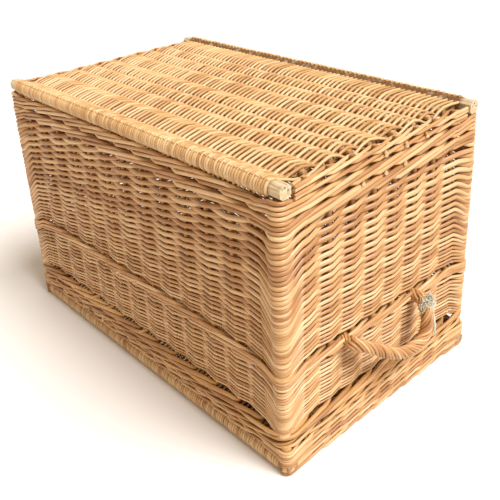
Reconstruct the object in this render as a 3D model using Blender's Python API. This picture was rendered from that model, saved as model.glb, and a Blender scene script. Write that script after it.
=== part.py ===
"""Wicker storage trunk in peeled willow, turned over and standing on its shallow lid.

Metres, +Z up. The origin is on the floor, under the middle of the trunk. X runs along the long sides,
-Y is the front, and the lid is hinged along the back (+Y) long side. Every name says where a piece is in
this attitude: the base panel is at the top, the lid panel at the floor.
"""

import math

import bmesh
import bpy
from mathutils import Matrix, Vector

# Driving sizes
HEIGHT = 0.500
GAP = 0.0003                      # clearance between touching pieces
MITRE_SHARE = 0.75                # share of that clearance on each side of a mitre
WALL_T = 0.021                    # woven wall: stake with a rod on either side
STAKE_R = 0.004
POST_R = 0.009
POST_INSET = 0.003                # post centre inside the corner of the stake lines
POST_WRAP_R = POST_R + 0.0055     # post with the rods bent round it
STICK_R = 0.005
POLE_W = 0.021                    # squared poles along the long edges of both panels
POLE_EDGE = 0.005                 # what is taken off a pole's edges
WRAP_R = 0.0145                   # pole with its wraps
WRAP_FLAT = 0.006                 # half width of the worn flats that the trunk rests on
PANEL_T = 0.020
HOLE_RUN_ON = 0.006               # how far a stake's hole runs on past the stake
HOLE_TURN = 0.7                   # turn of each stake's hole from the one before it, in radians

# Half extents of the stake lines, at two levels of the flaring body and in the upright lid
BODY_TOP_Z = 0.485
BODY_LOW_Z = 0.088
HALF_TOP = Vector((0.3705, 0.2210))
HALF_LOW = Vector((0.3820, 0.2350))
HALF_LID = Vector((0.3865, 0.2355))

# Levels, from the floor up
LID_WALE_TOP = 0.0500
LID_BORDER_R = 0.0080
LID_BORDER_Z = 0.0584
RIM_BORDER_R = 0.0103
RIM_BORDER_Z = 0.0772
RIM_RANDING_Z = (0.0880, 0.1765)
MID_WALE_Z = (0.1768, 0.1990)
DEEP_RANDING_Z = (0.1993, 0.4230)
UPSETT_Z = (0.4233, 0.4870)
POLE_REACH = 0.381                # half length of the base poles
LID_POLE_REACH = 0.397
BASE_Z = HEIGHT - WRAP_R          # middle of the base panel
LID_Z = WRAP_R                    # middle of the lid panel
BORDER_HALF = Vector((0.3880, 0.2410))

BASE_STICK_Y = (-0.157, -0.104, -0.062, -0.020, 0.039, 0.086, 0.128, 0.167)
LID_STICKS = 8
BASE_SET_IN = 0.001               # how far short of its end walls the base panel stops
LID_END_STAKE_FOOT = 0.004        # the short sides' stakes begin this far above the floor
FRONT_STAKES = 13
FRONT_SPREAD = 0.885              # outermost long-side stakes, as a share of the half length
END_STAKES = 8
END_SPREAD = 7 / 9
LID_FRONT_STAKES = 17
LID_FRONT_SPREAD = 16 / 18
LID_END_STAKES = 10
LID_END_SPREAD = 9 / 11

HINGE_X = (-0.236, 0.236)
HINGE_AXIS = Vector((0.0, BORDER_HALF.y, RIM_BORDER_Z))
HINGE_ROD_R = 0.0025
HINGE_INNER_R = RIM_BORDER_R + 0.0008
HINGE_NOTCH = 0.0045              # half width of the slot that a loop passes through
HINGE_ROOM = 0.0012               # clearance of the slot above and below a loop
CUT_PAST = 0.030                  # how far a cutting box reaches past what it cuts

HANDLE_R = 0.0115
HANDLE_PATH = (                   # right-hand handle, from its front root to its back root
    (0.3918, -0.0950, 0.1870),
    (0.3960, -0.0950, 0.1870),
    (0.4025, -0.0950, 0.1870),
    (0.4125, -0.0800, 0.1790),
    (0.4190, -0.0560, 0.1630),
    (0.4240, -0.0290, 0.1440),
    (0.4270, 0.0000, 0.1305),
    (0.4280, 0.0270, 0.1250),
    (0.4275, 0.0500, 0.1270),
    (0.4250, 0.0660, 0.1380),
    (0.4210, 0.0730, 0.1550),
    (0.4140, 0.0770, 0.1730),
    (0.4025, 0.0800, 0.1880),
    (0.3960, 0.0800, 0.1880),
    (0.3918, 0.0800, 0.1880),
)

SIDES = ("front", "right", "back", "left")


def clear_scene():
    for obj in list(bpy.data.objects):
        bpy.data.objects.remove(obj, do_unlink=True)


def material(name, colour, roughness):
    mat = bpy.data.materials.new(name)
    mat.use_nodes = True
    shader = mat.node_tree.nodes["Principled BSDF"]
    shader.inputs["Base Color"].default_value = (*colour, 1.0)
    shader.inputs["Roughness"].default_value = roughness
    shader.inputs["Metallic"].default_value = 0.0
    return mat


def make_materials():
    """The willow of each kind of piece, as (colour, roughness)."""
    table = {
        "pole": ((0.62, 0.50, 0.30), 0.60),
        "stick": ((0.60, 0.42, 0.22), 0.50),
        "stake": ((0.48, 0.27, 0.11), 0.50),
        "post": ((0.50, 0.30, 0.13), 0.50),
        "panel": ((0.66, 0.46, 0.24), 0.45),
        "wale": ((0.60, 0.37, 0.16), 0.42),
        "randing": ((0.58, 0.35, 0.15), 0.42),
        "handle": ((0.60, 0.38, 0.18), 0.45),
        "hinge": ((0.52, 0.31, 0.13), 0.50),
    }
    return {key: material(key + "_willow", *values) for key, values in table.items()}


def finish_object(name, mesh, mat, smooth_angle=None):
    mesh.materials.clear()
    mesh.materials.append(mat)
    if smooth_angle is not None:
        mesh.shade_smooth()
        mesh.set_sharp_from_angle(angle=math.radians(smooth_angle))
    obj = bpy.data.objects.new(name, mesh)
    bpy.context.scene.collection.objects.link(obj)
    return obj


def mesh_from_bmesh(name, bm):
    bmesh.ops.recalc_face_normals(bm, faces=bm.faces)
    mesh = bpy.data.meshes.new(name)
    bm.to_mesh(mesh)
    bm.free()
    return mesh


def stake_half(z):
    """Half extents of the body's stake lines at height z."""
    share = (BODY_TOP_Z - z) / (BODY_TOP_Z - BODY_LOW_Z)
    return HALF_TOP.lerp(HALF_LOW, share)


def side_frame(side, half):
    """Half length along a side, distance of its stake line, and its turn about Z."""
    along, out = (half.x, half.y) if side in ("front", "back") else (half.y, half.x)
    turn = {"front": 0.0, "right": 0.5, "back": 1.0, "left": 1.5}[side] * math.pi
    return along, out, turn


def side_point(side, u, v, z):
    """World point of u along a side (to its right, seen from outside) and v outwards."""
    turn = side_frame(side, HALF_TOP)[2]
    return Matrix.Rotation(turn, 3, "Z") @ Vector((u, -v, z))


def add_prism(bm, rings):
    """A closed lofted solid through rings of equally many points."""
    loops = [[bm.verts.new(point) for point in ring] for ring in rings]
    count = len(loops[0])
    for low, high in zip(loops, loops[1:]):
        for i in range(count):
            j = (i + 1) % count
            bm.faces.new((low[i], low[j], high[j], high[i]))
    bm.faces.new(list(reversed(loops[0])))
    bm.faces.new(loops[-1])


def add_rod(bm, start, end, radius, sides, turn=0.0):
    """A straight rod with flat ends, cut square to the line from start to end."""
    start, end = Vector(start), Vector(end)
    axis = (end - start).normalized()
    guide = Vector((0, 0, 1)) if abs(axis.z) < 0.9 else Vector((1, 0, 0))
    first = axis.cross(guide).normalized()
    second = axis.cross(first)
    rings = []
    for centre in (start, end):
        ring = []
        for i in range(sides):
            angle = turn + 2 * math.pi * i / sides
            ring.append(centre + radius * (math.cos(angle) * first + math.sin(angle) * second))
        rings.append(ring)
    add_prism(bm, rings)


def cutter(name, bm):
    obj = bpy.data.objects.new(name, mesh_from_bmesh(name, bm))
    bpy.context.scene.collection.objects.link(obj)
    obj.hide_render = True
    obj.display_type = "WIRE"
    return obj


def cut(obj, *cutters):
    for tool in cutters:
        modifier = obj.modifiers.new("cut_" + tool.name, "BOOLEAN")
        modifier.operation = "DIFFERENCE"
        modifier.solver = "EXACT"
        modifier.object = tool


# Uprights: stakes and corner posts, and the holes that they pass through

def stake_lines(side, half_at, count, spread, z_low, z_high):
    """Start and end points of a side's stakes, spread evenly over a share of its length."""
    lines = []
    for i in range(count):
        share = spread * (2 * i / (count - 1) - 1)
        ends = []
        for z in (z_low, z_high):
            along, out, _ = side_frame(side, half_at(z))
            ends.append(side_point(side, share * along, out, z))
        lines.append(ends)
    return lines


def post_lines(half_at, z_low, z_high):
    lines = []
    for sx, sy in ((-1, -1), (1, -1), (1, 1), (-1, 1)):
        ends = []
        for z in (z_low, z_high):
            half = half_at(z)
            ends.append(Vector((sx * (half.x - POST_INSET), sy * (half.y - POST_INSET), z)))
        lines.append(ends)
    return lines


def rods_mesh(name, lines, radius, sides, turn=0.0):
    bm = bmesh.new()
    for start, end in lines:
        add_rod(bm, start, end, radius, sides, turn)
    return mesh_from_bmesh(name, bm)


def lengthen(lines, extra):
    """The same lines, run on past both ends."""
    longer = []
    for start, end in lines:
        step = (end - start).normalized() * extra
        longer.append((start - step, end + step))
    return longer


def hole_cutter(name, stakes, posts):
    """Square holes for the stakes, no two turned alike, and round ones for the posts."""
    bm = bmesh.new()
    for number, (start, end) in enumerate(lengthen(stakes, HOLE_RUN_ON)):
        add_rod(bm, start, end, (STAKE_R + GAP) * math.sqrt(2), 4, HOLE_TURN * number)
    for start, end in lengthen(posts, HOLE_RUN_ON):
        add_rod(bm, start, end, (POST_R + GAP) / math.cos(math.pi / 12), 12)
    return cutter(name, bm)


# Woven walls

def wall_plan(side, half):
    """Outline of one side's wall at one level: mitred ends, rounded outer corners."""
    along, out, _ = side_frame(side, half)
    mitre = GAP * MITRE_SHARE
    bend = POST_WRAP_R * math.sqrt(0.5) - POST_INSET
    right = [
        (along - WALL_T / 2 - mitre, out - WALL_T / 2),
        (along + bend - mitre, out + bend),
        (along - POST_INSET, out + POST_WRAP_R - POST_INSET),
    ]
    points = [(-u, v) for u, v in right] + [(u, v) for u, v in reversed(right)]
    return points


def wall(name, side, z_range, half_at, mat, holes):
    rings = []
    for z in z_range:
        rings.append([side_point(side, u, v, z) for u, v in wall_plan(side, half_at(z))])
    bm = bmesh.new()
    add_prism(bm, rings)
    obj = finish_object(name, mesh_from_bmesh(name, bm), mat)
    cut(obj, *holes)
    return obj


def add_border_rod(bm, side, radius, z, reach_from_mitre, sides=12):
    """A round bundle of border rods along one side. Its ends are mitred, or square and further in or out."""
    along, out, _ = side_frame(side, BORDER_HALF)
    rings = [[], []]
    for i in range(sides):
        angle = 2 * math.pi * (i + 0.5) / sides
        v = out + radius * math.cos(angle)
        height = z + radius * math.sin(angle)
        mitred = along + (v - out) - GAP * MITRE_SHARE
        reach = mitred if reach_from_mitre is None else along + reach_from_mitre
        rings[0].append(side_point(side, -reach, v, height))
        rings[1].append(side_point(side, reach, v, height))
    add_prism(bm, rings)


def stake_comb(name, side, radius, z, uprights, mat, reach_from_mitre=None):
    """One side's stakes with their own bent-down ends, which form that side of the border."""
    bm = bmesh.new()
    add_border_rod(bm, side, radius, z, reach_from_mitre)
    obj = finish_object(name, mesh_from_bmesh(name, bm), mat, 40)
    for number, (lines, rod_radius, sides) in enumerate(uprights):
        bm = bmesh.new()
        for start, end in lines:
            add_rod(bm, start, end, rod_radius, sides, math.pi / sides)
        modifier = obj.modifiers.new(f"join_{number}", "BOOLEAN")
        modifier.operation = "UNION"
        modifier.solver = "EXACT"
        modifier.object = cutter(f"{name}_uprights_{number}", bm)
    return obj


# Panels

def add_square_pole(bm, y, z, reach, clearance=0.0):
    """A squared pole with its edges taken off, or the hole that it lies in."""
    half = POLE_W / 2 + clearance
    edge = half - POLE_EDGE
    outline = [(half, edge), (edge, half)]
    outline += [(-a, b) for a, b in reversed(outline)]
    outline += [(-a, -b) for a, b in outline]
    add_prism(bm, [[Vector((x, y + a, z + b)) for a, b in outline] for x in (-reach, reach)])


def square_pole(name, y, z, reach, mat):
    bm = bmesh.new()
    add_square_pole(bm, y, z, reach)
    return finish_object(name, mesh_from_bmesh(name, bm), mat)


def even_sticks(count, pole_y):
    """Y of the sticks, spaced evenly between the poles."""
    step = 2 * pole_y / (count + 1)
    return [-pole_y + step * (i + 1) for i in range(count)]


def panel(name, pole_y, z, half_length, rest_side, mat):
    """Slab between the poles with a wrap round each, flat where the trunk stands on it."""
    wrap_steps = 14
    start = math.asin(PANEL_T / 2 / WRAP_R)
    outline = []
    for sign in (-1, 1):
        for i in range(wrap_steps + 1):
            angle = start + (2 * math.pi - 2 * start) * i / wrap_steps
            y = sign * (pole_y - WRAP_R * math.cos(angle))
            height = -sign * WRAP_R * math.sin(angle)
            outline.append([y, height])
    for point in outline:
        near = abs(abs(point[0]) - pole_y)
        if rest_side * point[1] > 0 and near < WRAP_FLAT:
            point[1] = rest_side * WRAP_R
    rings = []
    for x in (-half_length, half_length):
        rings.append([Vector((x, y, z + height)) for y, height in outline])
    bm = bmesh.new()
    add_prism(bm, rings)
    return finish_object(name, mesh_from_bmesh(name, bm), mat, 30)


def panel_cutter(name, pole_y, z, half_length, sticks):
    bm = bmesh.new()
    reach = half_length + CUT_PAST
    for y in (-pole_y, pole_y):
        add_square_pole(bm, y, z, reach, GAP)
    for y in sticks:
        add_rod(bm, (-reach, y, z), (reach, y, z), (STICK_R + GAP) / math.cos(math.pi / 8), 8)
    return cutter(name, bm)


def pole_room_cutter(name, pole_y, low, high):
    """The room that the wrapped poles take out of the short sides' walls."""
    reach = BORDER_HALF.x + CUT_PAST
    inner, outer = pole_y - WRAP_R - GAP, pole_y + CUT_PAST
    return box_cutter(name, [((-reach, -outer, low), (reach, -inner, high)),
                             ((-reach, inner, low), (reach, outer, high))])


def box_cutter(name, boxes):
    bm = bmesh.new()
    for low, high in boxes:
        size = Vector(high) - Vector(low)
        middle = (Vector(high) + Vector(low)) / 2
        place = Matrix.Translation(middle) @ Matrix.Diagonal((*size, 1.0))
        bmesh.ops.create_cube(bm, size=1.0, matrix=place)
    return cutter(name, bm)


def build_panel_set(prefix, pole_y, z, reach, half_length, sticks, rest_side, mats):
    square_pole(prefix + "_front_pole", -pole_y, z, reach, mats["pole"])
    square_pole(prefix + "_back_pole", pole_y, z, reach, mats["pole"])
    for number, y in enumerate(sticks, 1):
        name = f"{prefix}_stick_{number}"
        mesh = rods_mesh(name, [((-half_length, y, z), (half_length, y, z))], STICK_R, 8)
        finish_object(name, mesh, mats["stick"], 50)
    slab = panel(prefix + "_panel", pole_y, z, half_length, rest_side, mats["panel"])
    cut(slab, panel_cutter(prefix + "_panel_holes", pole_y, z, half_length, sticks))


# Hinge loops and handles

def loop_outline(radius, low_z, steps=12):
    """A tall loop round both border rods, in the plane across the hinge."""
    points = []
    for i in range(steps + 1):
        angle = math.pi * i / steps
        points.append((radius * math.cos(angle), HINGE_AXIS.z + radius * math.sin(angle)))
    for i in range(steps + 1):
        angle = math.pi + math.pi * i / steps
        points.append((radius * math.cos(angle), low_z + radius * math.sin(angle)))
    return points


def hinge_loop(name, x, mat, sides=8):
    """A willow rod bent into a loop that holds the two borders together."""
    middle = HINGE_INNER_R + HINGE_ROD_R
    path = loop_outline(middle, LID_BORDER_Z)
    bm = bmesh.new()
    rings = []
    count = len(path)
    for i, (a, b) in enumerate(path):
        before, after = Vector(path[i - 1]), Vector(path[(i + 1) % count])
        along = (after - before).normalized()
        out = Vector((along.y, -along.x))
        ring = []
        for k in range(sides):
            angle = 2 * math.pi * k / sides
            shift = HINGE_ROD_R * math.cos(angle)
            point = (x + HINGE_ROD_R * math.sin(angle), a + out.x * shift, b + out.y * shift)
            ring.append(bm.verts.new((point[0], HINGE_AXIS.y + point[1], point[2])))
        rings.append(ring)
    for i, ring in enumerate(rings):
        following = rings[(i + 1) % count]
        for k in range(sides):
            m = (k + 1) % sides
            bm.faces.new((ring[k], ring[m], following[m], following[k]))
    return finish_object(name, mesh_from_bmesh(name, bm), mat, 60)


def hinge_slots(name):
    """The slots in both back walls that the loops run through, clear at every angle."""
    outer = HINGE_INNER_R + 2 * HINGE_ROD_R + HINGE_ROOM
    low = LID_BORDER_Z - outer
    high = HINGE_AXIS.z + outer
    boxes = []
    for x in HINGE_X:
        corner = (x - HINGE_NOTCH, HINGE_AXIS.y - CUT_PAST, low)
        boxes.append((corner, (x + HINGE_NOTCH, HINGE_AXIS.y + CUT_PAST, high)))
    return box_cutter(name, boxes)


def smooth_route(points, per_span=3):
    """Catmull-Rom points through a route."""
    route = [Vector(p) for p in points]
    ends = [2 * route[0] - route[1]] + route + [2 * route[-1] - route[-2]]
    dense = []
    for a, b, c, d in zip(ends, ends[1:], ends[2:], ends[3:]):
        for i in range(per_span):
            t = i / per_span
            dense.append(0.5 * (2 * b + (c - a) * t + (2 * a - 5 * b + 4 * c - d) * t ** 2
                                + (3 * b - a - 3 * c + d) * t ** 3))
    dense.append(route[-1])
    return dense


def handle(name, side_sign, mat):
    curve = bpy.data.curves.new(name, "CURVE")
    curve.dimensions = "3D"
    curve.bevel_depth = HANDLE_R
    curve.bevel_resolution = 3
    curve.use_fill_caps = True
    route = smooth_route([(side_sign * x, side_sign * y, z) for x, y, z in HANDLE_PATH], 2)
    spline = curve.splines.new("POLY")
    spline.points.add(len(route) - 1)
    for target, point in zip(spline.points, route):
        target.co = (*point, 1.0)
    curve.materials.append(mat)
    bpy.context.scene.collection.objects.link(bpy.data.objects.new(name, curve))


# The two bodies

def build_lid(mats, slots):
    def half_at(_):
        return HALF_LID

    pole_y = HALF_LID.y + WALL_T / 2 - WRAP_R
    inner_x = HALF_LID.x - WALL_T / 2 - GAP
    sticks = even_sticks(LID_STICKS, pole_y)
    build_panel_set("lid", pole_y, LID_Z, LID_POLE_REACH, inner_x, sticks, -1, mats)
    above_pole = 2 * WRAP_R + GAP
    low = {"front": above_pole, "back": above_pole, "left": 0.0, "right": 0.0}
    posts = post_lines(half_at, above_pole + GAP, LID_BORDER_Z)
    room = pole_room_cutter("lid_pole_room", pole_y, -CUT_PAST, above_pole)
    for side in SIDES:
        long_side = side in ("front", "back")
        count = LID_FRONT_STAKES if long_side else LID_END_STAKES
        spread = LID_FRONT_SPREAD if long_side else LID_END_SPREAD
        foot = low[side] + (GAP if long_side else LID_END_STAKE_FOOT)
        stakes = stake_lines(side, half_at, count, spread, foot, LID_BORDER_Z)
        uprights = [(stakes, STAKE_R, 8)]
        reach = LID_BORDER_R
        if long_side:
            front = side == "front"
            uprights.append(([line for line in posts if (line[0].y < 0) == front], POST_R, 12))
        else:
            reach = HALF_LID.y - POST_INSET - POST_R - GAP * 2 - BORDER_HALF.y
        stake_comb("lid_stakes_" + side, side, LID_BORDER_R, LID_BORDER_Z, uprights,
                   mats["stake"], reach)
        holes = [hole_cutter("lid_holes_" + side, stakes, posts)]
        if side == "back":
            holes.append(slots)
        if not long_side:
            holes.append(room)
        levels = (low[side], LID_WALE_TOP)
        wall("lid_wale_" + side, side, levels, half_at, mats["wale"], holes)
    for x, place in zip(HINGE_X, ("left", "right")):
        hinge_loop("hinge_loop_" + place, x, mats["hinge"])


def build_body(mats, slots):
    pole_y = stake_half(BODY_TOP_Z).y + WALL_T / 2 - WRAP_R
    inner_x = stake_half(BODY_TOP_Z).x - WALL_T / 2 - GAP
    half_length = inner_x - BASE_SET_IN
    build_panel_set("base", pole_y, BASE_Z, POLE_REACH, half_length, BASE_STICK_Y, 1, mats)
    under_pole = HEIGHT - 2 * WRAP_R - GAP
    room = pole_room_cutter("base_pole_room", pole_y, under_pole, HEIGHT + CUT_PAST)
    low = RIM_RANDING_Z[0]
    posts = post_lines(stake_half, low, under_pole - GAP)
    for (start, end), place in zip(posts, ("front_left", "front_right", "back_right", "back_left")):
        mesh = rods_mesh("corner_post_" + place, [(start, end)], POST_R, 12)
        finish_object("corner_post_" + place, mesh, mats["post"], 40)
    bands = (
        ("rim_randing_", RIM_RANDING_Z, "randing"),
        ("mid_wale_", MID_WALE_Z, "wale"),
        ("deep_randing_", DEEP_RANDING_Z, "randing"),
        ("upsett_wale_", UPSETT_Z, "wale"),
    )
    for side in SIDES:
        long_side = side in ("front", "back")
        count = FRONT_STAKES if long_side else END_STAKES
        spread = FRONT_SPREAD if long_side else END_SPREAD
        top = (under_pole if long_side else UPSETT_Z[1]) - GAP
        stakes = stake_lines(side, stake_half, count, spread, RIM_BORDER_Z, top)
        stake_comb("stakes_" + side, side, RIM_BORDER_R, RIM_BORDER_Z, [(stakes, STAKE_R, 8)],
                   mats["stake"])
        holes = hole_cutter("holes_" + side, stakes, posts)
        for prefix, levels, look in bands:
            if prefix == "upsett_wale_" and long_side:
                levels = (levels[0], under_pole)
            tools = [holes]
            if prefix == "upsett_wale_" and not long_side:
                tools.append(room)
            if prefix == "rim_randing_" and side == "back":
                tools.append(slots)
            wall(prefix + side, side, levels, stake_half, mats[look], tools)
    handle("handle_right", 1, mats["handle"])
    handle("handle_left", -1, mats["handle"])


def main():
    clear_scene()
    mats = make_materials()
    slots = hinge_slots("hinge_slots")
    build_lid(mats, slots)
    build_body(mats, slots)


main()
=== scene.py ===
"""The looks of the wicker storage trunk: every willow rod as a swept rod, woven as a basket maker would.

Metres, +Z up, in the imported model's frame. The trunk stands upside down on its shallow lid: the base panel is
on top. "u" runs along a side to the right as seen from outside, "v" runs outwards from the line of stakes.
"""

import math

import bpy
import numpy as np
from mathutils import Matrix, Vector


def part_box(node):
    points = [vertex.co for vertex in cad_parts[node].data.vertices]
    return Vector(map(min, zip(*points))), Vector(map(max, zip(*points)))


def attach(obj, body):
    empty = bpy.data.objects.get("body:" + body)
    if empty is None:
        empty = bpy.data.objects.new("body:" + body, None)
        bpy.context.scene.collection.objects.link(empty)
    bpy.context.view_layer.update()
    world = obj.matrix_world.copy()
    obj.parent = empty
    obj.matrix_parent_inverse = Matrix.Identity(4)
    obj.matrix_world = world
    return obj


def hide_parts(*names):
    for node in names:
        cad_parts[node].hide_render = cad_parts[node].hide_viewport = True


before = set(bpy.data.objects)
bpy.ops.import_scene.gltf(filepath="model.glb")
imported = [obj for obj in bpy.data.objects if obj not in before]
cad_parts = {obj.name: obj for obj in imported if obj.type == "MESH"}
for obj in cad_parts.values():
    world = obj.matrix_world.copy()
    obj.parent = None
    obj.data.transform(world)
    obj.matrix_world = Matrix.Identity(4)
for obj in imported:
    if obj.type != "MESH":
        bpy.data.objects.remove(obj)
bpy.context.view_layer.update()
rng = np.random.default_rng(7)

# Driving sizes
STAKE_R = 0.0040
POST_R = 0.0090
POST_INSET = 0.003                # post centre inside the corner of the stake lines
POST_GAP = 0.0006                 # between a post's end and the poles
STICK_R = 0.0050
WRAP_R = 0.0145                   # pole with its wraps
HEIGHT = 0.500
POLE_Y = 0.217                    # middle of the base panel's poles

# Stake lines of the flaring body at two levels, and of the upright lid
BODY_TOP_Z = 0.485
BODY_LOW_Z = 0.088
HALF_TOP = np.array((0.3705, 0.2210))
HALF_LOW = np.array((0.3820, 0.2350))
HALF_LID = np.array((0.3865, 0.2355))
BORDER_HALF = np.array((0.3880, 0.2410))

# (stakes, spread of the outermost two as a share of the side's half length), long side then short side
BODY_STAKES = ((13, 0.885), (8, 7 / 9))
LID_STAKES = ((17, 16 / 18), (10, 9 / 11))

SIDES = ("front", "right", "back", "left")

DEEP_Z = (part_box("deep_randing_front")[0].z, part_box("deep_randing_front")[1].z)
RIM_Z = (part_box("rim_randing_front")[0].z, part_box("rim_randing_front")[1].z)
MID_Z = (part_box("mid_wale_front")[0].z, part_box("mid_wale_front")[1].z)
UPSETT_Z = (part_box("upsett_wale_front")[0].z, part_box("upsett_wale_right")[1].z)
TIP_Z = UPSETT_Z[1] + 0.002        # where the short sides' stakes are cut off
LID_TOP_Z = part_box("lid_wale_front")[1].z
RIM_BORDER_Z = 0.0772
LID_BORDER_Z = 0.0584

HANDLE_R = 0.0115
HANDLE_PATH = (                   # right-hand handle, from its front root to its back root
    (0.3918, -0.0950, 0.1870),
    (0.3960, -0.0950, 0.1870),
    (0.4025, -0.0950, 0.1870),
    (0.4125, -0.0800, 0.1790),
    (0.4190, -0.0560, 0.1630),
    (0.4240, -0.0290, 0.1440),
    (0.4270, 0.0000, 0.1305),
    (0.4280, 0.0270, 0.1250),
    (0.4275, 0.0500, 0.1270),
    (0.4250, 0.0660, 0.1380),
    (0.4210, 0.0730, 0.1550),
    (0.4140, 0.0770, 0.1730),
    (0.4025, 0.0800, 0.1880),
    (0.3960, 0.0800, 0.1880),
    (0.3918, 0.0800, 0.1880),
)

# How much higher the long sides' bands lie in their middle than the short sides' bands
LIFT_Z = (0.030, 0.058, 0.077, 0.190, 0.420, 0.470)
LIFT = (0.0, 0.0035, 0.0040, 0.0115, 0.0090, 0.0085)
HINGE_SIDE_LIFT = (0.0, 0.0, 0.0, 0.0115, 0.0090, 0.0085)
CORNER_BEND = 0.12                # share of a corner's run, each way, that lies round the post
COLUMN_EDGE = 0.155               # as far as this the rods lie level, and form a column at the corner
COLUMN_REACH = 0.41               # from here on they have left the column altogether
RANDING_SINK = 1.2                # how sharply randing rods dive into the column
WALE_SINK = 1.1                   # and how sharply waling rods do
POST_ARRIVAL = 1.05               # a rod is out at the post's surface just before it gets there
STIFFNESS = 0.8                   # share of a rod's run between two stakes that is quite straight

# Unevenness of hand work
LEVEL_SPREAD = 0.0004             # of a rod's height at a stake
SIZE_SPREAD = 0.05                # of a rod's thickness, as a share


# Rods as swept meshes

class Bundle:
    """Swept rods gathered into one mesh. Each point carries its rod's tint and a place in the grain."""

    def __init__(self, sides=8):
        self.sides = sides
        self.points = []
        self.grain = []
        self.tint = []
        self.faces = []
        self.caps = []
        self.count = 0

    def add(self, paths, radii, guide, tints=None, oval=1.0):
        """paths (rods, points, 3), radii broadcast to (rods, points), guide across the rods' run.

        tints are random unless given. oval is the rods' size along the guide over their size across it.
        """
        paths = np.asarray(paths, float)
        if paths.ndim == 2:
            paths = paths[None]
        rods, steps, _ = paths.shape
        radii = np.broadcast_to(np.asarray(radii, float), (rods, steps))
        guide = np.broadcast_to(np.asarray(guide, float), paths.shape)
        run = np.gradient(paths, axis=1)
        run /= np.linalg.norm(run, axis=2, keepdims=True) + 1e-12
        first = np.cross(run, guide)
        first /= np.linalg.norm(first, axis=2, keepdims=True) + 1e-12
        second = np.cross(run, first)
        angle = 2 * np.pi * np.arange(self.sides) / self.sides
        across = (np.cos(angle)[:, None] * first[:, :, None]
                  + oval * np.sin(angle)[:, None] * second[:, :, None])
        ring = paths[:, :, None] + radii[:, :, None, None] * across
        step = np.linalg.norm(np.diff(paths, axis=1), axis=2)
        along = np.concatenate([np.zeros((rods, 1)), np.cumsum(step, axis=1)], axis=1)
        offset = rng.uniform(0, 50, (rods, 1, 1))
        grain = np.empty((rods, steps, self.sides, 3))
        grain[..., 0] = along[:, :, None] + offset
        grain[..., 1] = radii[:, :, None] * np.cos(angle)
        grain[..., 2] = radii[:, :, None] * np.sin(angle)
        if tints is None:
            tints = rng.uniform(0, 1, rods)
        tint = np.broadcast_to(np.asarray(tints, float).reshape(-1, 1, 1), ring.shape[:3])
        index = self.count + np.arange(rods * steps * self.sides).reshape(rods, steps, self.sides)
        a = index[:, :-1]
        b = index[:, 1:]
        quads = np.stack([a, np.roll(a, -1, 2), np.roll(b, -1, 2), b], axis=-1)
        self.faces.append(quads.reshape(-1, 4))
        self.caps.append(index[:, 0, ::-1])
        self.caps.append(index[:, -1])
        self.points.append(ring.reshape(-1, 3))
        self.grain.append(grain.reshape(-1, 3))
        self.tint.append(tint.reshape(-1))
        self.count += rods * steps * self.sides

    def build(self, name, mat):
        quads = np.concatenate(self.faces)
        caps = np.concatenate(self.caps)
        corners = np.concatenate([quads.ravel(), caps.ravel()])
        totals = np.concatenate([np.full(len(quads), 4), np.full(len(caps), self.sides)])
        starts = np.concatenate([[0], np.cumsum(totals)[:-1]])
        mesh = bpy.data.meshes.new(name)
        mesh.vertices.add(self.count)
        mesh.vertices.foreach_set("co", np.concatenate(self.points).astype(np.float32).ravel())
        mesh.loops.add(len(corners))
        mesh.loops.foreach_set("vertex_index", corners.astype(np.int32))
        mesh.polygons.add(len(totals))
        mesh.polygons.foreach_set("loop_start", starts.astype(np.int32))
        mesh.update(calc_edges=True)
        mesh.validate()
        grain = mesh.attributes.new("grain", "FLOAT_VECTOR", "POINT")
        grain.data.foreach_set("vector", np.concatenate(self.grain).astype(np.float32).ravel())
        tint = mesh.attributes.new("tint", "FLOAT", "POINT")
        tint.data.foreach_set("value", np.concatenate(self.tint).astype(np.float32))
        mesh.shade_smooth()
        mesh.set_sharp_from_angle(angle=math.radians(50))
        mesh.materials.append(mat)
        obj = bpy.data.objects.new(name, mesh)
        bpy.context.scene.collection.objects.link(obj)
        return obj


def place(obj, body, slot, *nodes):
    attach(obj, body)
    if nodes:
        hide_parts(*nodes)


def ease(x):
    """Smooth step from 0 to 1."""
    x = np.clip(x, 0, 1)
    return x * x * (3 - 2 * x)


def wander(shape, knots, amount):
    """Slow random drift along the last axis, through evenly spaced knots."""
    rods, steps = shape
    values = rng.normal(0, amount, (rods, knots))
    at = np.linspace(0, knots - 1, steps)
    low = np.minimum(at.astype(int), knots - 2)
    share = ease(at - low)
    return values[:, low] * (1 - share) + values[:, low + 1] * share


# Where things are round the walls

def body_half(z):
    """Half length and half width of the body's stake lines at height z."""
    share = (BODY_TOP_Z - np.asarray(z, float)) / (BODY_TOP_Z - BODY_LOW_Z)
    return tuple(top + (low - top) * share for top, low in zip(HALF_TOP, HALF_LOW))


def lid_half(z):
    z = np.asarray(z, float)
    return np.full(z.shape, HALF_LID[0]), np.full(z.shape, HALF_LID[1])


def settle(path):
    """Raise what lies along a long side, most in its middle and not at all at the corners.

    The two borders on the hinge side stay straight, so that one rolls on the other.
    """
    share = np.abs(path[:, 0]) / HALF_LOW[0]
    path = path.copy()
    lift = np.where(path[:, 1] > 0, np.interp(path[:, 2], LIFT_Z, HINGE_SIDE_LIFT),
                    np.interp(path[:, 2], LIFT_Z, LIFT))
    path[:, 2] += lift * np.clip(1 - share ** 4, 0, 1)
    return path


def plunge(f, power):
    """1 round a corner post, falling to 0 on the way to the stakes on either side of it."""
    away = np.clip((np.abs(f - 0.5) - COLUMN_EDGE) / (COLUMN_REACH - COLUMN_EDGE), 0, 1)
    return (1 - away) ** power


def taut(x):
    """A stiff rod runs straight from one stake to the next, and bends a little where it meets them."""
    x = np.clip(x, 0, 1)
    return STIFFNESS * x + (1 - STIFFNESS) * ease(x)


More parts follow.
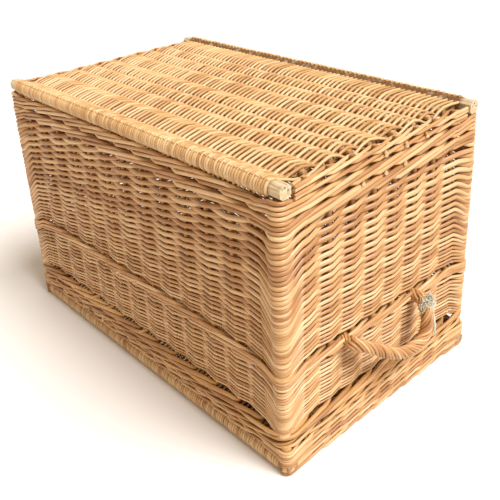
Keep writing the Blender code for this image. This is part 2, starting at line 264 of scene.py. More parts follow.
def side_point(side, u, v, z):
    """World points of u along a side and v outwards, where v counts from the middle of the trunk."""
    u, v, z = np.broadcast_arrays(u, v, z)
    x, y = ((u, -v), (v, u), (-u, v), (-v, -u))[SIDES.index(side)]
    return np.stack([x, y, z], axis=-1)


def outward(side):
    return side_point(side, 0.0, 1.0, 0.0)


class Ring:
    """The stakes round the four walls, numbered to the right from the front side's left end."""

    def __init__(self, counts, half_at):
        self.half_at = half_at
        self.sides = []
        self.shares = []
        for side, (count, spread) in zip(SIDES, (counts[0], counts[1]) * 2):
            self.sides += [side] * count
            self.shares += list(spread * (2 * np.arange(count) / (count - 1) - 1))
        self.count = len(self.sides)

    def size(self, side, z):
        """Half length of a side and distance of its stake line at height z."""
        x, y = self.half_at(z)
        return (x, y) if side in ("front", "back") else (y, x)

    def stake(self, number, v, z):
        number %= self.count
        along, out = self.size(self.sides[number], z)
        return side_point(self.sides[number], self.shares[number] * along, out + v, z)

    def gap(self, number, f, v0, v1, z0, z1, rod_r, dip=0.0):
        """Points of a rod from stake number to the next one, at shares f of the way.

        Between two stakes of one side v goes smoothly from v0 to v1. Between two sides the rod runs round
        the outside of the corner post, and sinks by dip where it does so.
        """
        here, there = number % self.count, (number + 1) % self.count
        z = z0 + (z1 - z0) * f
        side, next_side = self.sides[here], self.sides[there]
        if side == next_side:
            along, out = self.size(side, z)
            share = self.shares[here] + (self.shares[there] - self.shares[here]) * f
            return side_point(side, share * along, out + v0 + (v1 - v0) * taut(f), z)
        reach = POST_R + rod_r
        z = z - dip * plunge(f, RANDING_SINK)
        run = 0.5 - CORNER_BEND
        points = np.empty((len(f), 3))
        for i, share in enumerate(f):
            if abs(share - 0.5) <= CORNER_BEND:
                along, out = self.size(side, z[i])
                angle = (share - run) / (2 * CORNER_BEND) * math.pi / 2
                u = along - POST_INSET + reach * math.sin(angle)
                v = out - POST_INSET + reach * math.cos(angle)
                points[i] = side_point(side, u, v, z[i])
                continue
            before = share < 0.5
            t = (share if before else 1 - share) / run
            wall, stake, start_v = (side, here, v0) if before else (next_side, there, v1)
            sign = 1 if before else -1
            along, out = self.size(wall, z[i])
            start_u = self.shares[stake] * along
            u = start_u + t * (sign * (along - POST_INSET) - start_u)
            v = start_v + (reach - POST_INSET - start_v) * taut(t * POST_ARRIVAL)
            points[i] = side_point(wall, u, out + v, z[i])
        return points


WALE_SEAM = 27                    # stake on the back side where the body's rounds of waling begin and end
LID_SEAM = 33                     # the same for the lid's rounds
BODY = Ring(BODY_STAKES, body_half)
LID = Ring(LID_STAKES, lid_half)

PLAIN_STEPS = np.linspace(0, 1, 8)[:-1]
CORNER_STEPS = np.concatenate([np.linspace(0, 0.5 - CORNER_BEND, 9)[:-1],
                               np.linspace(0.5 - CORNER_BEND, 0.5 + CORNER_BEND, 8)[:-1],
                               np.linspace(0.5 + CORNER_BEND, 1, 9)[:-1]])


def gap_steps(ring, number):
    corner = ring.sides[number % ring.count] != ring.sides[(number + 1) % ring.count]
    return CORNER_STEPS if corner else PLAIN_STEPS


# Willow

def node(tree, kind, **settings):
    made = tree.nodes.new(kind)
    for key, value in settings.items():
        if key in made.inputs:
            made.inputs[key].default_value = value
        else:
            setattr(made, key, value)
    return made


def willow(name, dark, middle, light, roughness=0.42, streaks=0.5, spots=0.35):
    """Peeled willow: a tint for each rod, long streaks, small dark flecks and a satin skin."""
    mat = bpy.data.materials.new(name)
    mat.use_nodes = True
    tree = mat.node_tree
    links = tree.links
    shader = tree.nodes["Principled BSDF"]
    shader.inputs["Specular IOR Level"].default_value = 0.50
    shader.inputs["Coat Weight"].default_value = 0.20
    shader.inputs["Coat Roughness"].default_value = 0.22
    grain = node(tree, "ShaderNodeAttribute", attribute_name="grain")
    tint = node(tree, "ShaderNodeAttribute", attribute_name="tint")

    def noise(scale, stretch, detail=3.0, rough=0.55):
        mapping = node(tree, "ShaderNodeMapping")
        mapping.inputs["Scale"].default_value = stretch
        links.new(grain.outputs["Vector"], mapping.inputs["Vector"])
        made = node(tree, "ShaderNodeTexNoise")
        made.inputs["Scale"].default_value = scale
        made.inputs["Detail"].default_value = detail
        made.inputs["Roughness"].default_value = rough
        links.new(mapping.outputs["Vector"], made.inputs["Vector"])
        return made.outputs["Fac"]

    def math_node(operation, a, b=None, clamp=False):
        made = node(tree, "ShaderNodeMath", operation=operation, use_clamp=clamp)
        for socket, value in zip(made.inputs, (a, b)):
            if value is None:
                continue
            if isinstance(value, (int, float)):
                socket.default_value = value
            else:
                links.new(value, socket)
        return made.outputs[0]

    streak = noise(1.0, (9.0, 900.0, 900.0), 2.0, 0.6)
    drift = noise(1.0, (14.0, 60.0, 60.0), 2.0)
    fleck = noise(1.0, (130.0, 500.0, 500.0), 2.0, 0.7)
    mottle = noise(1.0, (60.0, 260.0, 260.0), 3.0, 0.6)

    shade = math_node("MULTIPLY_ADD", streak, streaks)
    shade.node.inputs[2].default_value = -streaks / 2
    slow = math_node("MULTIPLY_ADD", drift, 0.9)
    slow.node.inputs[2].default_value = -0.45
    tone = math_node("MULTIPLY_ADD", tint.outputs["Fac"], 0.62)
    tone.node.inputs[2].default_value = 0.19
    tone = math_node("ADD", tone, shade)
    tone = math_node("ADD", tone, slow, clamp=True)
    ramp = node(tree, "ShaderNodeValToRGB")
    ramp.color_ramp.elements[0].position = 0.08
    ramp.color_ramp.elements[0].color = (*dark, 1)
    ramp.color_ramp.elements[1].position = 0.92
    ramp.color_ramp.elements[1].color = (*light, 1)
    ramp.color_ramp.elements.new(0.5).color = (*middle, 1)
    links.new(tone, ramp.inputs["Fac"])

    mark = node(tree, "ShaderNodeMapRange")
    mark.inputs["From Min"].default_value = 0.66
    mark.inputs["From Max"].default_value = 0.78
    mark.inputs["To Max"].default_value = spots
    links.new(fleck, mark.inputs["Value"])
    mixed = node(tree, "ShaderNodeMix", data_type="RGBA")
    links.new(mark.outputs["Result"], mixed.inputs[0])
    links.new(ramp.outputs["Color"], mixed.inputs[6])
    mixed.inputs[7].default_value = (dark[0] * 0.45, dark[1] * 0.38, dark[2] * 0.35, 1)
    links.new(mixed.outputs[2], shader.inputs["Base Color"])

    rough = node(tree, "ShaderNodeMapRange")
    rough.inputs["To Min"].default_value = roughness - 0.10
    rough.inputs["To Max"].default_value = roughness + 0.16
    links.new(mottle, rough.inputs["Value"])
    links.new(rough.outputs["Result"], shader.inputs["Roughness"])

    height = math_node("MULTIPLY", streak, 0.7)
    height = math_node("ADD", height, math_node("MULTIPLY", mottle, 0.5))
    bump = node(tree, "ShaderNodeBump")
    bump.inputs["Strength"].default_value = 0.35
    bump.inputs["Distance"].default_value = 0.0006
    links.new(height, bump.inputs["Height"])
    links.new(bump.outputs["Normal"], shader.inputs["Normal"])
    return mat


def raw_wood(name, between, bare_from=0.356):
    """Sawn pole: pale and dry at its bare ends, with straight grain and a grey bloom. Between them, where the
    weavers wrap it, it is painted darker as shade.

    bare_from is how far from the trunk's middle the bare ends begin.
    """
    mat = bpy.data.materials.new(name)
    mat.use_nodes = True
    tree = mat.node_tree
    links = tree.links
    shader = tree.nodes["Principled BSDF"]
    place_node = node(tree, "ShaderNodeTexCoord")
    mapping = node(tree, "ShaderNodeMapping")
    mapping.inputs["Scale"].default_value = (25.0, 420.0, 420.0)
    links.new(place_node.outputs["Object"], mapping.inputs["Vector"])
    fibre = node(tree, "ShaderNodeTexNoise")
    fibre.inputs["Scale"].default_value = 1.0
    fibre.inputs["Detail"].default_value = 4.0
    links.new(mapping.outputs["Vector"], fibre.inputs["Vector"])
    ramp = node(tree, "ShaderNodeValToRGB")
    ramp.color_ramp.elements[0].position = 0.30
    ramp.color_ramp.elements[0].color = (0.40, 0.27, 0.13, 1)
    ramp.color_ramp.elements[1].position = 0.62
    ramp.color_ramp.elements[1].color = (0.74, 0.60, 0.37, 1)
    links.new(fibre.outputs["Fac"], ramp.inputs["Fac"])
    split = node(tree, "ShaderNodeSeparateXYZ")
    links.new(place_node.outputs["Object"], split.inputs["Vector"])
    distance = node(tree, "ShaderNodeMath", operation="ABSOLUTE")
    links.new(split.outputs["X"], distance.inputs[0])
    bare = node(tree, "ShaderNodeMapRange")
    bare.inputs["From Min"].default_value = bare_from
    bare.inputs["From Max"].default_value = bare_from + 0.008
    links.new(distance.outputs[0], bare.inputs["Value"])
    # mixes the bare ends' grain with the painted shade colour of the wrapped length
    bare_ends_and_painted_shade = node(tree, "ShaderNodeMix", data_type="RGBA")
    links.new(bare.outputs["Result"], bare_ends_and_painted_shade.inputs[0])
    bare_ends_and_painted_shade.inputs[6].default_value = (*between, 1)
    links.new(ramp.outputs["Color"], bare_ends_and_painted_shade.inputs[7])
    bloom = node(tree, "ShaderNodeTexNoise")
    bloom.inputs["Scale"].default_value = 90.0
    bloom.inputs["Detail"].default_value = 3.0
    links.new(place_node.outputs["Object"], bloom.inputs["Vector"])
    grey = node(tree, "ShaderNodeMapRange")
    grey.inputs["From Min"].default_value = 0.52
    grey.inputs["From Max"].default_value = 0.70
    grey.inputs["To Max"].default_value = 0.55
    links.new(bloom.outputs["Fac"], grey.inputs["Value"])
    mixed = node(tree, "ShaderNodeMix", data_type="RGBA")
    links.new(grey.outputs["Result"], mixed.inputs[0])
    links.new(bare_ends_and_painted_shade.outputs[2], mixed.inputs[6])
    mixed.inputs[7].default_value = (0.62, 0.58, 0.50, 1)
    links.new(mixed.outputs[2], shader.inputs["Base Color"])
    rough = node(tree, "ShaderNodeMapRange")
    rough.inputs["To Min"].default_value = 0.55
    rough.inputs["To Max"].default_value = 0.80
    links.new(bloom.outputs["Fac"], rough.inputs["Value"])
    links.new(rough.outputs["Result"], shader.inputs["Roughness"])
    bump = node(tree, "ShaderNodeBump")
    bump.inputs["Strength"].default_value = 0.4
    bump.inputs["Distance"].default_value = 0.0008
    links.new(fibre.outputs["Fac"], bump.inputs["Height"])
    links.new(bump.outputs["Normal"], shader.inputs["Normal"])
    return mat


HONEY = ((0.35, 0.145, 0.042), (0.58, 0.325, 0.132), (0.76, 0.520, 0.280))
STRAW = ((0.44, 0.220, 0.075), (0.63, 0.385, 0.165), (0.76, 0.540, 0.290))
MATS = {
    "randing": willow("randing_willow", *HONEY),
    "wale": willow("wale_willow", *HONEY),
    "panel": willow("panel_willow", *STRAW, roughness=0.40),
    "stake": willow("stake_willow", (0.30, 0.13, 0.04), (0.52, 0.27, 0.09), (0.70, 0.43, 0.19), 0.48),
    "post": willow("post_willow", (0.30, 0.13, 0.04), (0.50, 0.26, 0.09), (0.66, 0.40, 0.18), 0.50),
    "stick": willow("stick_willow", *STRAW, roughness=0.5),
    "handle": willow("handle_willow", *HONEY, roughness=0.45),
    "hinge": willow("hinge_willow", *HONEY, roughness=0.5),
    # colours of the poles where the weavers wrap them: painted shade, darker than the bare wood
    "pole": raw_wood("pole_raw_wood", (0.20, 0.095, 0.030)),
    "lid_pole": raw_wood("lid_pole_wood", (0.36, 0.19, 0.075), 1.0),    # too far out for bare ends
    "cut": willow("cut_willow", (0.62, 0.46, 0.24), (0.80, 0.66, 0.42), (0.90, 0.80, 0.60), 0.65, 0.3, 0.3),
    "fibre": willow("frayed_fibre", (0.34, 0.34, 0.28), (0.58, 0.57, 0.46), (0.80, 0.79, 0.68), 0.70,
                    0.6, 0.3),
    "nail": willow("nail_iron", (0.05, 0.05, 0.06), (0.12, 0.12, 0.13), (0.20, 0.20, 0.21), 0.50, 0.4, 0.2),
}


# French randing: one rod starts at each stake, and climbs to the right by half a layer per stake

PACKING = 0.53                    # rod radius as a share of the step from one rod to the next: just over half
ROD_OVAL = 1.16                   # height of a beaten-down rod over its thickness
HUG = 0.78                        # how closely a rod presses round a stake: 1 would just touch it


def randing(name, prefix, z_range, layers, first_pitch, last_pitch, dips):
    """Rods run down to the left from their butts at the top. Each piece holds those that start on one side.

    dips gives how far the rods sink at the corners, at even steps from the top of the block to its foot.
    """
    half_steps = 2 * layers
    progress = np.arange(half_steps + 1) / half_steps
    pitch = first_pitch + (last_pitch - first_pitch) * (progress[:-1] + progress[1:]) / 2
    drop = np.concatenate([[0], np.cumsum(pitch / 2)])
    span = z_range[1] - z_range[0]
    drop *= span / (drop[-1] + (pitch[0] + pitch[-1]) * PACKING / 2)
    radius_at = np.interp(progress, (progress[:-1] + progress[1:]) / 2, np.diff(drop)) * PACKING
    levels_at = z_range[1] - radius_at[0] - drop
    dip_at = np.interp((z_range[1] - levels_at) / span, np.linspace(0, 1, len(dips)), dips)
    bundles = {side: Bundle() for side in SIDES}
    for number in range(BODY.count):
        levels = levels_at + rng.normal(0, LEVEL_SPREAD, half_steps + 1)
        radii_here = radius_at * (1 + rng.normal(0, SIZE_SPREAD))
        points, radii = [], []
        for t in range(half_steps):
            # from stake number - t to the stake on its left
            v0 = (1 if t % 2 else -1) * (STAKE_R + radii_here[t]) * HUG
            v1 = (-1 if t % 2 else 1) * (STAKE_R + radii_here[t + 1]) * HUG
            left = number - t - 1
            f = gap_steps(BODY, left)
            points.append(BODY.gap(left, 1 - f, v1, v0, levels[t + 1], levels[t], radii_here[t], dip_at[t]))
            radii.append(radii_here[t] + (radii_here[t + 1] - radii_here[t]) * f)
        end_v = (1 if half_steps % 2 else -1) * (STAKE_R + radii_here[-1])
        points.append(BODY.stake(number - half_steps, end_v, levels[-1])[None])
        radii.append(radii_here[-1:])
        path = settle(np.concatenate(points))
        bundles[BODY.sides[number]].add(path, np.concatenate(radii)[None], (0, 0, 1), oval=ROD_OVAL)
    for side, bundle in bundles.items():
        obj = bundle.build(f"{name}_{side}", MATS["randing"])
        place(obj, "trunk", "randing", prefix + side)


# Waling: each rod goes in front of all but one stake of its group, and behind that one

WALE_OVAL = 0.95
FLOOR_GAP = 0.0003                # room that waling keeps under it
LID_WALE_R = 0.0026


def wale_round(bundle, ring, level, rod_r, group=3, first=WALE_SEAM, count=None, dip=0.0, spread=0.86,
               end_y=None):
    """One round of waling, running to the right, with its middle at height level.

    spread is the distance between its rods round a corner post, in rod diameters, and dip is how far they
    sink there. A round with a count is open: it begins and ends half way round a corner post, or at
    y = +-end_y.
    """
    open_ended = count is not None
    count = ring.count if count is None else count
    for rod in range(group):
        jitter = rng.normal(0, LEVEL_SPREAD, (2, count + 2))
        radius = rod_r * (1 + rng.normal(0, SIZE_SPREAD))
        points = []

        def at(step):
            phase = (step + rod) % group
            front = phase != group - 1
            v = (STAKE_R + radius) * (1 if front else -1) + jitter[0, step]
            rank = phase - (group - 2) / 2 if front else 0.0
            return v, level + rank * 2 * rod_r + jitter[1, step], phase

        for step in range(count):
            v0, z0, phase = at(step)
            v1, z1, _ = at(step + 1)
            number = first + step
            f = gap_steps(ring, number)
            if f is not CORNER_STEPS:
                points.append(ring.gap(number, f, v0, v1, z0, z1, radius))
                continue
            if open_ended and step == 0:
                f = f[f > 0.5 - CORNER_BEND]
            if open_ended and step == count - 1:
                f = f[f < 0.5 + CORNER_BEND]
            order = (phase + 1) % group
            corner_z = level - dip + (order - (group - 1) / 2) * 2 * rod_r * spread
            near = plunge(f, WALE_SINK)
            target = np.maximum((z0 + (z1 - z0) * f) * (1 - near) + corner_z * near, radius + FLOOR_GAP)
            points.append(move_to_level(ring, ring.gap(number, f, v0, v1, 0.0, 0.0, radius), target))
        path = settle(np.concatenate(points))
        if end_y is not None:
            path = path[np.abs(path[:, 1]) < end_y]
        bundle.add(path, radius, (0, 0, 1), oval=WALE_OVAL)


def move_to_level(ring, path, z):
    """The same route at another height, moved in or out with the flare of the walls."""
    x0, y0 = ring.half_at(np.zeros(len(path)))
    x1, y1 = ring.half_at(z)
    moved = path.copy()
    moved[:, 0] += np.sign(path[:, 0]) * (x1 - x0)
    moved[:, 1] += np.sign(path[:, 1]) * (y1 - y0)
    moved[:, 2] = z
    return moved


def side_start(ring, side):
    """Number of a side's first stake."""
    return ring.sides.index(side)


def place_band(bundle, name, body, prefix):
    """One piece stands for the band's four sides."""
    place(bundle.build(name, MATS["wale"]), body, "wale", *[prefix + side for side in SIDES])


def upsett():
    bundle = Bundle()
    low = UPSETT_Z[0]
    for number, (middle, dip) in enumerate(((0.0112, 0.003), (0.0326, -0.004))):
        wale_round(bundle, BODY, low + middle, 0.0036, group=4, dip=dip, spread=1.0,
                   first=WALE_SEAM + number)
    for side in ("right", "left"):
        start = side_start(BODY, side)
        for middle in (0.0490, 0.0605):
            wale_round(bundle, BODY, low + middle, 0.0029, group=3, first=start - 1,
                       count=BODY_STAKES[1][0] + 1, end_y=POLE_Y - WRAP_R)
    place_band(bundle, "upsett_waling", "trunk", "upsett_wale_")


def mid_wale():
    bundle = Bundle()
    middle = (MID_Z[0] + MID_Z[1]) / 2
    wale_round(bundle, BODY, middle, 0.0033, group=4, dip=0.009)
    place_band(bundle, "middle_waling", "trunk", "mid_wale_")


def lid_wale():
    bundle = Bundle()
    for number, level in enumerate((0.0450, 0.0351)):
        wale_round(bundle, LID, level, LID_WALE_R, first=LID_SEAM + number, dip=0.002)
    for side in ("right", "left"):
        start = side_start(LID, side)
        for level in (0.0252, 0.0153, 0.0062):
            wale_round(bundle, LID, level, LID_WALE_R, first=start - 1, count=LID_STAKES[1][0] + 1)
    place_band(bundle, "lid_waling", "lid", "lid_wale_")


# Rod borders: the stakes' own ends bent down and laid along the rim

BORDER_CORNER = 0.022             # radius of the border's corners
BORDER_START = 0.07               # share of its reach at which a bent stake joins the border
ROLL_FROM = 118                   # degrees round the border where it joins
ROLL_TURN = 235                   # degrees that it rolls along its reach
STAKE_TIP = 0.80                  # thickness of a stake's tip over its butt


def rounded_walk(half, corner, s):
    """Points and outward normals of a rounded rectangle, s from the front side's left end."""
    lengths = []
    for i in range(4):
        lengths += [2 * (half[i % 2] - corner), corner * math.pi / 2]
    s = np.mod(s, sum(lengths))
    xy = np.empty((len(s), 2))
    normal = np.empty((len(s), 2))
    for i, at in enumerate(s):
        part = 0
        while at > lengths[part]:
            at -= lengths[part]
            part += 1
        turn = (part // 2) * math.pi / 2
        across, out = half[(part // 2) % 2], half[(part // 2 + 1) % 2]
        if part % 2 == 0:
            local = (-across + corner + at, -out)
            facing = -math.pi / 2
        else:
            swing = at / corner
            facing = -math.pi / 2 + swing
            local = (across - corner + corner * math.cos(facing), -out + corner + corner * math.sin(facing))
        c, d = math.cos(turn), math.sin(turn)
        xy[i] = (local[0] * c - local[1] * d, local[0] * d + local[1] * c)
        normal[i] = (math.cos(facing + turn), math.sin(facing + turn))
    return xy, normal


def walk_place(ring, half, corner, number):
    """Distance along the rounded walk to a stake."""
    side = ring.sides[number % ring.count]
    i = SIDES.index(side)
    before = sum(2 * (half[k % 2] - corner) + corner * math.pi / 2 for k in range(i))
    along = half[i % 2]
    return before + ring.shares[number % ring.count] * along + along - corner


def smooth_path(points, per_span):
    """Catmull-Rom points through a route."""
    route = np.asarray(points, float)
    ends = np.vstack([2 * route[0] - route[1], route, 2 * route[-1] - route[-2]])
    dense = []
    for a, b, c, d in zip(ends, ends[1:], ends[2:], ends[3:]):
        for t in np.arange(per_span) / per_span:
            dense.append(0.5 * (2 * b + (c - a) * t + (2 * a - 5 * b + 4 * c - d) * t ** 2
                                + (3 * b - a - 3 * c + d) * t ** 3))
    dense.append(route[-1])
    return np.array(dense)


def stakes_and_border(ring, tops, z_turn, border_z, border_r, rod_r, reach, direction):
    """Each stake runs along its wall, bends to one side and rolls round the rim from inside to outside."""
    bundles = {side: Bundle() for side in SIDES}
    towards_rim = 1 if border_z > z_turn else -1
    for number in range(ring.count):
        side = ring.sides[number]
        top = tops[side in ("left", "right")]
        levels = np.linspace(top, z_turn, 6)
        upright = np.array([ring.stake(number, 0.0, z) for z in levels])
        begin = walk_place(ring, BORDER_HALF, BORDER_CORNER, number)
        share = np.linspace(BORDER_START, 1, 16)
        s = begin + direction * reach * share
        xy, normal = rounded_walk(BORDER_HALF, BORDER_CORNER, s)
        spin = np.radians(ROLL_FROM - ROLL_TURN * share)
        rho = border_r - rod_r
        out = rho * np.cos(spin)
        height = border_z - towards_rim * rho * np.sin(spin)
        rim = np.column_stack([xy + normal * out[:, None], height])
        path = settle(smooth_path(np.vstack([upright, rim]), 3))
        taper = np.linspace(1, STAKE_TIP, len(path)) * rod_r * (1 + rng.normal(0, SIZE_SPREAD))
        bundles[side].add(path, taper, outward(side) + np.array((0, 0, 0.2)))
    return bundles


def body_stakes():
    under_pole = HEIGHT - 2 * WRAP_R
    bundles = stakes_and_border(BODY, (under_pole - LIFT[-1], TIP_Z), RIM_Z[0] + 0.004,
                                RIM_BORDER_Z, 0.0103, 0.0041, 0.175, -1)
    for side, bundle in bundles.items():
        place(bundle.build("stakes_and_border_" + side, MATS["stake"]), "trunk", "stake", "stakes_" + side)


def lid_stakes():
    bundles = stakes_and_border(LID, (2 * WRAP_R, 0.001), LID_TOP_Z - 0.001, LID_BORDER_Z, 0.0080, 0.0030,
                                0.118, 1)
    for side, bundle in bundles.items():
        if side in ("front", "back"):
            sign = -1 if side == "front" else 1
            for sx in (-1, 1):
                x, y = sx * (HALF_LID[0] - POST_INSET), sign * (HALF_LID[1] - POST_INSET)
                bundle.add([(x, y, 2 * WRAP_R + POST_GAP), (x, y, LID_BORDER_Z)], POST_R, (1, 0, 0))
        obj = bundle.build("lid_stakes_and_border_" + side, MATS["stake"])
        place(obj, "lid", "stake", "lid_stakes_" + side)


def corner_posts():
    for name, (sx, sy) in zip(("front_left", "front_right", "back_right", "back_left"),
                              ((-1, -1), (1, -1), (1, 1), (-1, 1))):
        levels = np.linspace(RIM_Z[0], HEIGHT - 2 * WRAP_R - POST_GAP, 9)
        x, y = body_half(levels)
        path = np.column_stack([sx * (x - POST_INSET), sy * (y - POST_INSET), levels])
        bundle = Bundle(12)
        bundle.add(path, POST_R * np.linspace(0.97, 1.0, 9), (1, 0, 0))
        place(bundle.build("post_" + name, MATS["post"]), "trunk", "post", "corner_post_" + name)


# Panels: weavers run across lengthwise sticks, and turn round the poles

def panel(prefix, body, outside, row_pitch, weaver_r):
    """outside is +1 where the panel's outer face looks up. Rows alternate; every row wraps the front pole."""
    low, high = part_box(prefix + "_panel")
    middle = (low.z + high.z) / 2
    pole_y = high.y - WRAP_R
    sticks = sorted((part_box(f"{prefix}_stick_{i}")[0].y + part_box(f"{prefix}_stick_{i}")[1].y) / 2
                    for i in range(1, 9))
    for i, y in enumerate(sticks, 1):
        bundle = Bundle()
        x = np.linspace(low.x + 0.001, high.x - 0.001, 13)
        path = np.column_stack([x, y + wander((1, 13), 5, 0.0006)[0], np.full(13, middle)])
        bundle.add(path, STICK_R * np.linspace(1.0, 0.9, 13), (0, 0, 1))
        place(bundle.build(f"{prefix}_stick_rod_{i}", MATS["stick"]), body, "stick", f"{prefix}_stick_{i}")

    rows = int((high.x - low.x - 2 * weaver_r) / row_pitch)
    row_x = np.linspace(low.x + weaver_r, high.x - weaver_r, rows)
    lift = STICK_R + weaver_r * 0.95
    wrap = WRAP_R - weaver_r
    even, odd = Bundle(), Bundle()
    for i, x0 in enumerate(row_x):
        radius = weaver_r * (1 + rng.normal(0, 0.06))
        over = 1 if i % 2 == 0 else -1
        points = []
        # the back pole: rows in turn go over it and come back under it
        side_now = over * outside
        for angle in np.radians(np.linspace(-10, 100, 8))[::-1]:
            points.append((0.0, pole_y + wrap * math.cos(angle), side_now * wrap * math.sin(angle)))
        side_now = -side_now
        for y in reversed(sticks):
            points.append((0.0, y, side_now * lift * (1 + rng.normal(0, 0.05))))
            side_now = -side_now
        # the front pole: a full turn, starting on the side where the row arrives
        for angle in np.radians(np.linspace(80, -200, 15)):
            points.append((0.0, -pole_y - wrap * math.cos(angle), side_now * wrap * math.sin(angle)))
        path = smooth_path(points, 3)
        lean = weave_lean(np.linspace(0, 1, len(path)))
        path[:, 0] = x0 + lean + wander((1, len(path)), 6, 0.0005)[0]
        path[:, 2] = np.clip(middle + path[:, 2], radius, HEIGHT - radius)
        path[:, 0] = np.clip(path[:, 0], low.x + 0.0005, high.x - 0.0005)
        bundle = even if i % 2 == 0 else odd
        bundle.add(path, radius * np.linspace(1, 0.93, len(path)), (1, 0, 0))
    place(even.build(prefix + "_weavers_over", MATS["panel"]), body, "panel", prefix + "_panel")
    place(odd.build(prefix + "_weavers_under", MATS["panel"]), body, "panel")


def weave_lean(share):
    """Rows slant a little as they turn round the front pole."""
    return 0.003 * ease((share - 0.8) / 0.2)


def poles():
    for name in ("base_front_pole", "base_back_pole", "lid_front_pole", "lid_back_pole"):
        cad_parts[name].data.materials.clear()
        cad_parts[name].data.materials.append(MATS["pole" if name.startswith("base") else "lid_pole"])


# Handles and hinge loops

def frames_along(path):
    """Two unit vectors across a path at each point, carried along without twist."""
    run = np.gradient(path, axis=0)
    run /= np.linalg.norm(run, axis=1, keepdims=True)
    first = np.cross(run[0], (0.1, 0.3, 1.0))
    firsts = []
    for t in run:
        first = first - t * np.dot(first, t)
        first /= np.linalg.norm(first)
        firsts.append(first.copy())
    firsts = np.array(firsts)
    return firsts, np.cross(run, firsts)


def rope(bundle, path, rope_r, rods, rod_r, lay, group=1):
    """Rods laid side by side round a path in groups. lay is the length of one turn."""
    step = np.linalg.norm(np.diff(path, axis=0), axis=1)
    along = np.concatenate([[0], np.cumsum(step)])
    first, second = frames_along(path)
    for k in range(rods):
        place_in_group = k % group - (group - 1) / 2
        angle = 2 * math.pi * (along / lay + (k - 0.10 * place_in_group) / rods)
        radial = np.cos(angle)[:, None] * first + np.sin(angle)[:, None] * second
        proud = (rope_r - rod_r) * (1 - 0.05 * abs(place_in_group)) + wander((1, len(path)), 7, 0.0003)[0]
        bundle.add(path + proud[:, None] * radial, rod_r * (1 + rng.normal(0, 0.06)), radial + 0.01)


def handle(side):
    sign = 1 if side == "right" else -1
    inside = [(x - 0.012, y, z) for x, y, z in (HANDLE_PATH[0], HANDLE_PATH[-1])]
    route = [inside[0], *HANDLE_PATH, inside[1]]
    path = smooth_path([(sign * x, sign * y, z) for x, y, z in route], 8)
    bundle = Bundle()
    rope(bundle, path, HANDLE_R, 9, 0.0026, 0.078, group=3)
    # the core rod takes a dark tint: painted shade between the strands
    bundle.add(path, HANDLE_R - 0.0040, (0.1, 0.3, 1.0), tints=0.1)
    place(bundle.build("twisted_handle_" + side, MATS["handle"]), "trunk", "handle", "handle_" + side)


def frayed_end():
    """Grey fibres of the right handle's frayed rods, tangled at its back root, with a tail down the rope."""
    bundle = Bundle(5)
    middle = np.array((0.4150, 0.0805, 0.1785))
    tail = np.array(((0.4230, 0.0860, 0.1620), (0.4310, 0.0825, 0.1460), (0.4345, 0.0770, 0.1320)))
    for strand in range(90):
        knots = middle + rng.normal(0, 1, (5, 3)) * (0.0032, 0.0070, 0.0090)
        if strand % 5 == 0:
            knots = np.vstack([knots[:2], tail + rng.normal(0, 0.0012, (3, 3))])
        path = smooth_path(knots, 6)
        bundle.add(path, 0.0009 * np.linspace(1, 0.6, len(path)), (0.3, 0.2, 1))
    place(bundle.build("frayed_handle_end", MATS["fibre"]), "trunk", "handle")


def hinge_loop(side):
    low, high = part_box("hinge_loop_" + side)
    x = (low.x + high.x) / 2
    y = (low.y + high.y) / 2
    rod_r = (high.x - low.x) / 2
    bend = (high.y - low.y) / 2 - rod_r
    top, bottom = high.z - rod_r - bend, low.z + rod_r + bend
    turn = np.linspace(0, math.pi, 15)
    route = [(x, y + bend * math.cos(a), top + bend * math.sin(a)) for a in turn]
    route += [(x, y - bend * math.cos(a), bottom - bend * math.sin(a)) for a in turn]
    route.append(route[0])
    path = smooth_path(route, 3)
    bundle = Bundle()
    rope(bundle, path, rod_r, 2, rod_r * 0.5, 0.022)
    place(bundle.build("hinge_twist_" + side, MATS["hinge"]), "lid", "hinge", "hinge_loop_" + side)


BUTT_R = 0.0030
BUTT_OUT = 0.0045                 # where a butt leaves the waling, outwards from the stakes' surface
BUTT_STEPS = (-0.011, 0.0055, 0.0061)    # along the butt: inside the wall, its rim and its cut face


def cut_ends():
    """Butts of rods that were laid in afresh: they stick out of the waling, cut off square and pale."""
    spots = {
        "trunk": (("right", BODY, (-0.010, 0.0385, 0.090), 0.475),
                  ("right", BODY, (-0.061, -0.010, 0.038), 0.447),
                  ("front", BODY, (-0.082, -0.041, 0.015), 0.199),
                  ("front", BODY, (-0.157, -0.103, 0.013), 0.0915),
                  ("left", BODY, (-0.060, 0.030), 0.460),
                  ("back", BODY, (-0.120, 0.050), 0.199)),
        "lid": (("front", LID, (-0.277, -0.233, -0.183, -0.130), 0.0500),
                ("back", LID, (-0.150, 0.070), 0.045)),
    }
    for body, rows in spots.items():
        rods, faces = Bundle(), Bundle()
        for side, ring, places, z in rows:
            for u in places:
                _, out = ring.size(side, z)
                heading = np.array((-0.55, 0.75, -0.25)) + rng.normal(0, 0.08, 3)
                heading /= np.linalg.norm(heading)
                steps = np.array(BUTT_STEPS)
                u_at = u + heading[0] * steps
                v_at = out + STAKE_R + BUTT_OUT + heading[1] * steps
                path = side_point(side, u_at, v_at, z + heading[2] * steps)
                radius = BUTT_R * (1 + rng.normal(0, 0.08))
                rods.add(path[:2], radius, (0, 0, 1))
                faces.add(path[1:], radius * 0.97, (0, 0, 1))
        place(rods.build(body + "_rod_butts", MATS["wale"]), body, "wale")
        place(faces.build(body + "_cut_faces", MATS["cut"]), body, "wale")


def stake_tips():
    """Cut ends of the short sides' stakes, which come up beside the base panel."""
    bundle = Bundle()
    for number in range(BODY.count):
        if BODY.sides[number] in ("left", "right"):
            path = np.array([BODY.stake(number, 0.0, z) for z in (TIP_Z, TIP_Z + 0.0008)])
            bundle.add(path, 0.0036, (1, 0, 0))
    place(bundle.build("stake_tips", MATS["cut"]), "trunk", "stake")


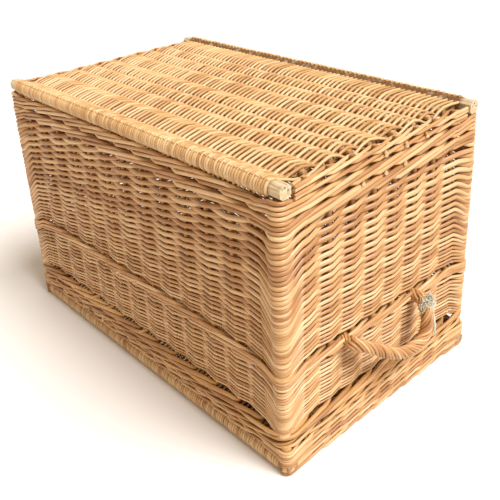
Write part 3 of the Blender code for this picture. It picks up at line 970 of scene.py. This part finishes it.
def nail_heads():
    """A nail or two in each pole end."""
    bundle = Bundle(10)
    for pole in ("base_front_pole", "base_back_pole"):
        low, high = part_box(pole)
        y, z = (low.y + high.y) / 2, (low.z + high.z) / 2
        for x, face in ((high.x, 1), (low.x, -1)):
            for dy, dz in ((-0.001, 0.0065), (0.0045, 0.0015)):
                ends = [(x - face * 0.001, y + dy, z + dz), (x + face * 0.0005, y + dy, z + dz)]
                bundle.add(ends, 0.0013, (0, 0, 1))
    place(bundle.build("nail_heads", MATS["nail"]), "trunk", "pole")


def stage():
    floor_mesh = bpy.data.meshes.new("floor")
    reach = 30.0
    floor_mesh.from_pydata([(-reach, -reach, 0), (reach, -reach, 0), (reach, reach, 0), (-reach, reach, 0)],
                           [], [(0, 1, 2, 3)])
    mat = bpy.data.materials.new("pale_floor")
    mat.use_nodes = True
    shader = mat.node_tree.nodes["Principled BSDF"]
    shader.inputs["Base Color"].default_value = (0.80, 0.785, 0.765, 1)
    shader.inputs["Roughness"].default_value = 0.9
    floor_mesh.materials.append(mat)
    floor = bpy.data.objects.new("floor", floor_mesh)
    bpy.context.scene.collection.objects.link(floor)


AZIMUTH, ELEVATION, ROLL = 49.24, 29.78, -3.28    # degrees
LENS = 49.87
DISTANCE = 1.373
SUN_FROM = (0.54, 0.14, 0.83)


def camera():
    azimuth, elevation, roll = (math.radians(a) for a in (AZIMUTH, ELEVATION, ROLL))
    towards = np.array((math.sin(azimuth) * math.cos(elevation),
                        -math.cos(azimuth) * math.cos(elevation), math.sin(elevation)))
    right = np.cross(-towards, (0, 0, 1))
    right /= np.linalg.norm(right)
    up = np.cross(right, -towards)
    across = math.cos(roll) * right + math.sin(roll) * up
    above = math.cos(roll) * up - math.sin(roll) * right
    position = towards * DISTANCE + right * 0.035 - up * 0.080 + np.array((0, 0, HEIGHT / 2))
    data = bpy.data.cameras.new("camera")
    data.sensor_width = 36
    data.lens = LENS
    obj = bpy.data.objects.new("camera", data)
    turn = Matrix((across, above, towards)).transposed().to_4x4()
    obj.matrix_world = Matrix.Translation(position) @ turn
    bpy.context.scene.collection.objects.link(obj)
    bpy.context.scene.camera = obj


def lights():
    world = bpy.data.worlds.new("studio")
    bpy.context.scene.world = world
    world.use_nodes = True
    world.node_tree.nodes["Background"].inputs["Color"].default_value = (1.0, 0.82, 0.63, 1)
    world.node_tree.nodes["Background"].inputs["Strength"].default_value = 0.57
    sun = bpy.data.lights.new("key", "SUN")
    sun.energy = 4.2
    sun.angle = math.radians(32)
    sun.color = (1.0, 0.995, 0.990)
    obj = bpy.data.objects.new("key", sun)
    obj.rotation_euler = Vector(SUN_FROM).to_track_quat("Z", "Y").to_euler()
    bpy.context.scene.collection.objects.link(obj)
    bpy.context.scene.view_settings.view_transform = "Standard"


randing("deep_randing", "deep_randing_", DEEP_Z, 21, 15.2, 6.8, (0.003, 0.014, 0.024, 0.024, 0.018, 0.011))
randing("rim_randing", "rim_randing_", RIM_Z, 12, 9.5, 6.2, (0.010, 0.018, 0.020, 0.016))
upsett()
mid_wale()
lid_wale()
body_stakes()
lid_stakes()
corner_posts()
panel("base", "trunk", 1, 0.0053, 0.0027)
panel("lid", "lid", -1, 0.0053, 0.0027)
poles()
for place_name in ("right", "left"):
    handle(place_name)
    hinge_loop(place_name)
frayed_end()
cut_ends()
stake_tips()
nail_heads()

camera()
lights()
stage()
